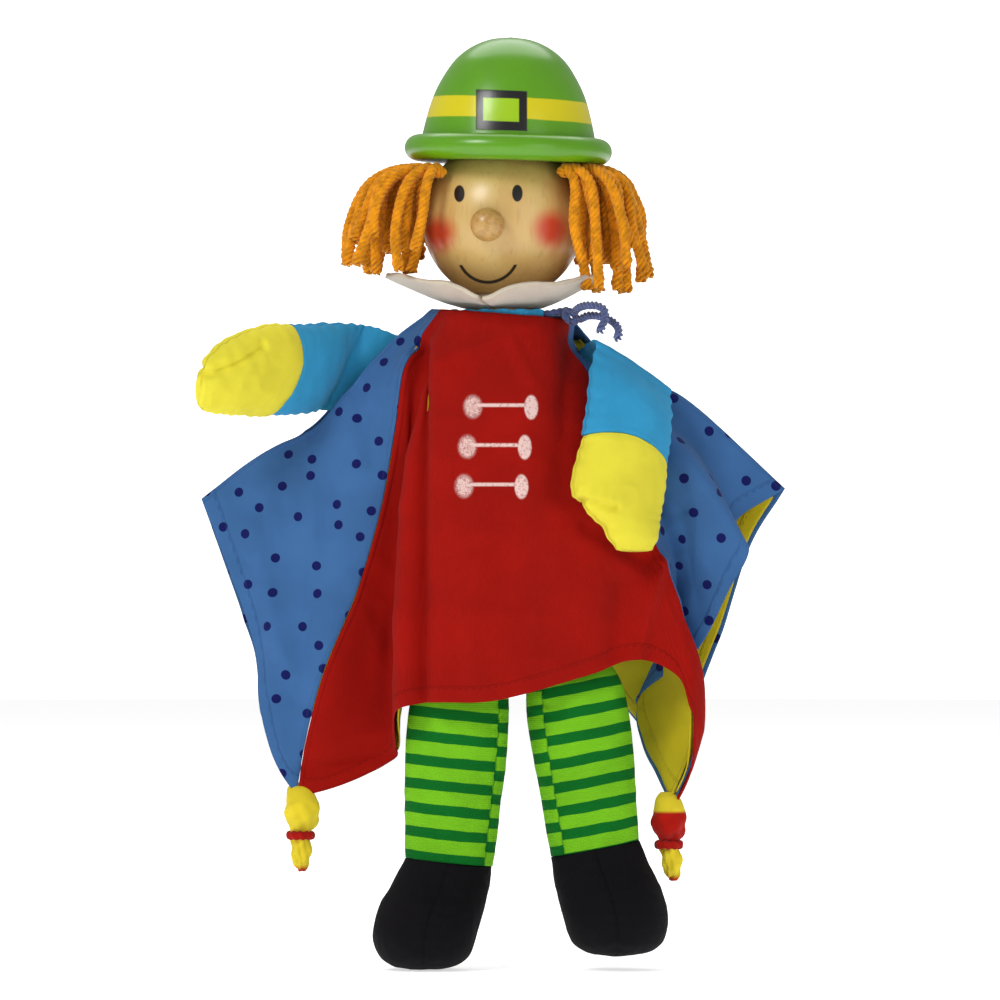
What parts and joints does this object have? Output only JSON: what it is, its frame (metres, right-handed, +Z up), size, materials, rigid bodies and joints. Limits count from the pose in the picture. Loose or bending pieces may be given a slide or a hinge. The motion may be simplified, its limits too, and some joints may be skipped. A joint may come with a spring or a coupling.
{
  "type": "hand puppet",
  "caption": "Glove puppet with a turned wooden head and hat, yarn hair, felt collar, lined tunic with knotted corners, stuffed arms and striped legs.",
  "frame": {"origin": "Centre of the neck tube's mouth, where the finger enters the head", "axes": "+Z up from the legs to the hat, the longest extent; the tunic's front faces -Y; +X to the viewer's right"},
  "size_m": [0.2206, 0.1013, 0.345],
  "materials": {
    "wood_natural": "clear satin varnish",
    "wood_green": "green gloss paint, slightly brushed",
    "yarn_orange": "twisted orange yarn",
    "felt_cream": "thick wool felt",
    "cotton_sky": "plain-weave light-blue cotton",
    "yarn_slate": "twisted slate-blue yarn",
    "cotton_red": "plain-weave red cotton, three white printed fastenings",
    "cotton_blue": "blue cotton printed with small navy dots",
    "cotton_yellow": "plain-weave yellow cotton",
    "cotton_lining": "plain-weave yellow lining cotton",
    "jersey_green": "striped light and dark green jersey",
    "cotton_black": "matt near-black cotton",
    "card": "wound kraft card tube, unfinished"
  },
  "bodies": {
    "garment": {"glove_front": "cotton_sky", "glove_back": "cotton_sky", "leg_yoke": "cotton_sky", "neck_band": "cotton_sky", "neck_cord": "yarn_slate", "cord_tail_a": "yarn_slate", "cord_tail_b": "yarn_slate", "tunic_front": "cotton_red", "lining_front": "cotton_lining", "left_panel": "cotton_blue", "lining_left": "cotton_lining", "right_panel": "cotton_blue", "lining_right": "cotton_lining", "back_panel": "cotton_blue", "lining_back": "cotton_lining"},
    "neck": {"neck_casing": "cotton_sky"},
    "head": {"head_ball": "wood_natural", "nose": "wood_natural", "hat": "wood_green", "neck_tube": "card", "hair_left": "yarn_orange", "hair_right": "yarn_orange", "hair_back": "yarn_orange", "collar": "felt_cream"},
    "left_arm_root": {"left_upper_sleeve": "cotton_sky"},
    "left_arm": {"left_sleeve": "cotton_sky", "left_mitten": "cotton_yellow"},
    "right_arm_root": {"right_upper_sleeve": "cotton_sky"},
    "right_arm": {"right_sleeve": "cotton_sky", "right_mitten": "cotton_yellow"},
    "left_leg": {"left_leg": "jersey_green", "left_shoe": "cotton_black"},
    "right_leg": {"right_leg": "jersey_green", "right_shoe": "cotton_black"},
    "left_corner": {"left_knot": "cotton_yellow", "left_knot_band": "cotton_red"},
    "right_corner": {"right_knot": "cotton_yellow", "right_knot_band": "cotton_red"}
  },
  "joints": [
    {"name": "head_nod", "type": "hinge", "parent": "garment", "child": "neck", "pos_m": [0, 0, 0.008], "axis": [1, 0, 0], "range_deg": [-3.5, 3]},
    {"name": "head_turn", "type": "hinge", "parent": "neck", "child": "head", "pos_m": [0, 0, 0.02], "axis": [0, 0, 1], "range_deg": [-30, 30]},
    {"name": "left_arm_raise", "type": "hinge", "parent": "garment", "child": "left_arm_root", "pos_m": [-0.029, 0.001, -0.007], "axis": [0, 1, 0], "range_deg": [0, 20]},
    {"name": "left_arm_swing", "type": "hinge", "parent": "left_arm_root", "child": "left_arm", "pos_m": [-0.05925, 0, -0.005], "axis": [-0.4127, 0, -0.9109], "range_deg": [-8, 35]},
    {"name": "right_arm_raise", "type": "hinge", "parent": "garment", "child": "right_arm_root", "pos_m": [0.034, 0.002, -0.0065], "axis": [0, -1, 0], "range_deg": [0, 4]},
    {"name": "right_arm_swing", "type": "hinge", "parent": "right_arm_root", "child": "right_arm", "pos_m": [0.04825, -0.028, -0.0045], "axis": [0.7944, 0.3125, -0.5209], "range_deg": [-50, 0]},
    {"name": "left_hip", "type": "hinge", "parent": "garment", "child": "left_leg", "pos_m": [-0.015, -0.02, -0.112], "axis": [-1, 0, 0], "range_deg": [-24, 20]},
    {"name": "right_hip", "type": "hinge", "parent": "garment", "child": "right_leg", "pos_m": [0.025, -0.02, -0.112], "axis": [-1, 0, 0], "range_deg": [-24, 20]},
    {"name": "left_corner_swing", "type": "hinge", "parent": "garment", "child": "left_corner", "pos_m": [-0.075, -0.017, -0.1645], "axis": [0, 1, 0], "range_deg": [-20, 20]},
    {"name": "right_corner_swing", "type": "hinge", "parent": "garment", "child": "right_corner", "pos_m": [0.0615, -0.016, -0.168], "axis": [0, 1, 0], "range_deg": [-20, 14]}
  ]
}
